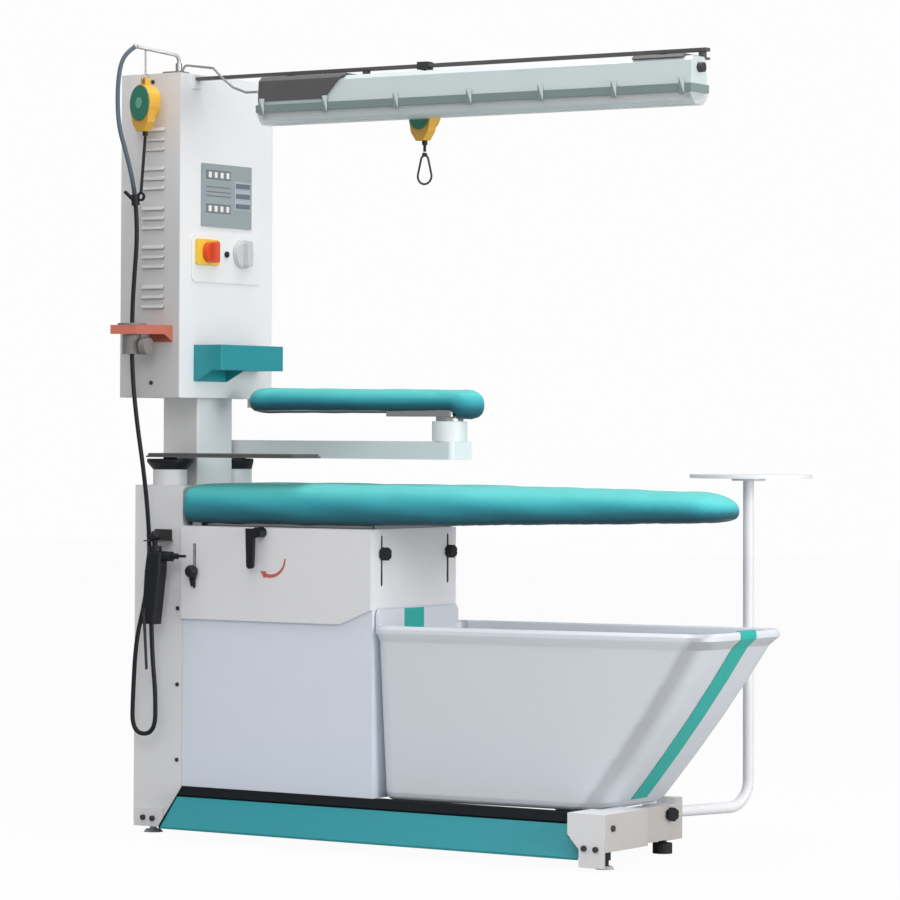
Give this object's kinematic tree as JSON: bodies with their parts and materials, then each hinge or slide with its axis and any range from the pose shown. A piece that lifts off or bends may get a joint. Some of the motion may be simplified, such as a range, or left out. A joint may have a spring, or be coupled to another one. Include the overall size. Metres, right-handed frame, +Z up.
{
  "type": "vacuum ironing table",
  "caption": "Industrial vacuum ironing table: padded board with adjustable height, swinging sleeve board, control column with lamp boom and balancers, steam gun, garment trough and foot pedal.",
  "frame": {"origin": "centre of the footprint box, on the floor", "axes": "+Z up, +X along the board from the control column to the nose, -Y towards the operator"},
  "size_m": [1.624, 0.894, 1.918],
  "materials": {
    "white_paint": "satin",
    "black_rubber": "matte",
    "dark_steel": "satin",
    "grey_casting": "satin",
    "zinc_steel": "brushed",
    "black_paint": "satin",
    "teal_paint": "satin",
    "teal_fabric": "woven",
    "black_plastic": "matte",
    "trough_plastic": "soft gloss",
    "teal_trim": "satin",
    "grey_panel": "satin",
    "readout": "gloss",
    "pale_plastic": "satin",
    "white_plastic": "satin",
    "yellow_plastic": "gloss",
    "red_plastic": "gloss",
    "orange_paint": "satin",
    "grey_plastic": "matte",
    "lamp_shell": "satin",
    "lamp_diffuser_clear": "frosted",
    "tube_glass": "frosted",
    "grey_mat": "matte",
    "black_hose": "matte"
  },
  "bodies": {
    "machine": {"apron_panel": "white_paint", "balancer_arm": "zinc_steel", "balancer_left": "yellow_plastic", "base_frame": "white_paint", "blower_and_ducts": "grey_casting", "board_housing": "white_paint", "bolts_and_gun_hook": "dark_steel", "boom_rail": "dark_steel", "box_front_cover": "white_paint", "cabinet_front_panel": "white_paint", "cabinet_shell": "white_paint", "column": "white_paint", "control_box_shell": "white_paint", "control_gear": "grey_casting", "display_panel": "grey_panel", "garment_trough": "trough_plastic", "gun_body": "black_plastic", "hose_clamp": "black_plastic", "hose_guide_bracket": "orange_paint", "kick_plate": "black_paint", "lamp_diffuser": "lamp_diffuser_clear", "lamp_fittings": "dark_steel", "lamp_tubes": "tube_glass", "lamp_upper_tray": "lamp_shell", "levelling_feet": "black_rubber", "main_switch_plate": "yellow_plastic", "pedal_spring": "zinc_steel", "pivot_and_guide_bushes": "black_plastic", "readouts_and_pilot": "readout", "side_tray": "teal_paint", "steam_hose": "black_hose", "switch_plate": "white_plastic", "tower_shell": "white_paint", "trough_stripe": "teal_trim"},
    "iron_rest": {"iron_rest_plate": "zinc_steel", "iron_rest_mat": "grey_mat"},
    "sleeve_arm_body": {"sleeve_arm": "white_paint"},
    "sleeve_board": {"sleeve_board_plate": "zinc_steel", "sleeve_pad": "teal_fabric"},
    "main_board": {"board_cover": "teal_fabric", "board_pan": "zinc_steel", "board_grid": "zinc_steel", "board_lift_frame": "zinc_steel"},
    "knob_front": {"clamp_knob_front": "black_plastic"},
    "knob_right_near": {"clamp_knob_right_near": "black_plastic"},
    "knob_right_far": {"clamp_knob_right_far": "black_plastic"},
    "lever": {"lock_lever": "black_plastic"},
    "pedal": {"foot_pedal": "teal_paint"},
    "fan": {"impeller": "zinc_steel"},
    "stand": {"side_stand": "white_paint"},
    "stand_screw": {"stand_knob": "black_plastic"},
    "guide_screw": {"guide_knob": "grey_plastic"},
    "trolley": {"balancer_right": "yellow_plastic"},
    "hook": {"snap_hook": "dark_steel"},
    "main_switch": {"main_switch_handle": "red_plastic"},
    "selector": {"selector_knob": "pale_plastic"},
    "button_1": {"display_button_1": "pale_plastic"},
    "button_2": {"display_button_2": "pale_plastic"},
    "button_3": {"display_button_3": "pale_plastic"},
    "trigger": {"gun_trigger": "dark_steel"}
  },
  "joints": [
    {"name": "iron_rest_swivel", "type": "hinge", "parent": "machine", "child": "iron_rest", "pos_m": [-0.7095, -0.2739, 0.915], "axis": [0, 0, 1], "range_deg": [-45, 0]},
    {"name": "sleeve_arm_swivel", "type": "hinge", "parent": "machine", "child": "sleeve_arm_body", "pos_m": [-0.717, -0.0069, 0.914], "axis": [0, 0, 1], "range_deg": [-8, 115]},
    {"name": "sleeve_board_swivel", "type": "hinge", "parent": "sleeve_arm_body", "child": "sleeve_board", "pos_m": [-0.002, -0.1179, 1.005], "axis": [0, 0, 1], "range_deg": [-170, 170]},
    {"name": "board_height", "type": "slide", "parent": "machine", "child": "main_board", "axis": [0, 0, 1], "range_m": [0, 0.033]},
    {"name": "knob_front_turn", "type": "hinge", "parent": "main_board", "child": "knob_front", "pos_m": [-0.599, -0.3369, 0.64], "axis": [0, 1, 0], "range_deg": [-180, 180]},
    {"name": "knob_right_near_turn", "type": "hinge", "parent": "main_board", "child": "knob_right_near", "pos_m": [-0.08, -0.2759, 0.692], "axis": [1, 0, 0], "range_deg": [-180, 180]},
    {"name": "knob_right_far_turn", "type": "hinge", "parent": "main_board", "child": "knob_right_far", "pos_m": [-0.08, 0.0161, 0.692], "axis": [1, 0, 0], "range_deg": [-180, 180]},
    {"name": "lever_turn", "type": "hinge", "parent": "machine", "child": "lever", "pos_m": [-0.398, -0.3369, 0.738], "axis": [0, -1, 0], "range_deg": [0, 60]},
    {"name": "pedal_press", "type": "hinge", "parent": "machine", "child": "pedal", "pos_m": [-0.083, -0.3089, 0.104], "axis": [1, 0, 0], "range_deg": [0, 8], "stiffness_Nm_per_rad": 30, "springref_deg": -20.05, "deforming": ["pedal_spring"]},
    {"name": "fan_turn", "type": "hinge", "parent": "machine", "child": "fan", "pos_m": [-0.483, -0.1289, 0.3], "axis": [1, 0, 0], "continuous": true},
    {"name": "stand_slide", "type": "slide", "parent": "machine", "child": "stand", "axis": [0.3189, 0.9478, 0], "range_m": [0, 0.03]},
    {"name": "stand_knob_turn", "type": "hinge", "parent": "machine", "child": "stand_screw", "pos_m": [0.52607, 0.01546, 0.095], "axis": [0.9478, -0.3189, 0], "range_deg": [-180, 180]},
    {"name": "guide_knob_turn", "type": "hinge", "parent": "machine", "child": "guide_screw", "pos_m": [-0.695, -0.3969, 1.184], "axis": [1, 0, 0], "range_deg": [-180, 180]},
    {"name": "trolley_roll", "type": "slide", "parent": "machine", "child": "trolley", "axis": [1, 0, 0], "range_m": [-0.13, 0.55]},
    {"name": "hook_swing", "type": "hinge", "parent": "trolley", "child": "hook", "pos_m": [0.027, -0.2789, 1.634], "axis": [0, 1, 0], "range_deg": [-35, 35]},
    {"name": "main_switch_turn", "type": "hinge", "parent": "machine", "child": "main_switch", "pos_m": [-0.613, -0.2369, 1.416], "axis": [1, 0, 0], "range_deg": [0, 90]},
    {"name": "selector_turn", "type": "hinge", "parent": "machine", "child": "selector", "pos_m": [-0.618, -0.0889, 1.417], "axis": [1, 0, 0], "range_deg": [-60, 60]},
    {"name": "button_1_press", "type": "slide", "parent": "machine", "child": "button_1", "axis": [-1, 0, 0], "range_m": [0, 0.0015], "stiffness_N_per_m": 300, "springref_m": -0.002},
    {"name": "button_2_press", "type": "slide", "parent": "machine", "child": "button_2", "axis": [-1, 0, 0], "range_m": [0, 0.0015], "stiffness_N_per_m": 300, "springref_m": -0.002},
    {"name": "button_3_press", "type": "slide", "parent": "machine", "child": "button_3", "axis": [-1, 0, 0], "range_m": [0, 0.0015], "stiffness_N_per_m": 300, "springref_m": -0.002},
    {"name": "trigger_squeeze", "type": "hinge", "parent": "machine", "child": "trigger", "pos_m": [-0.703, -0.3879, 0.545], "axis": [0, 1, 0], "range_deg": [0, 8], "stiffness_Nm_per_rad": 0.6, "springref_deg": -14.9}
  ]
}
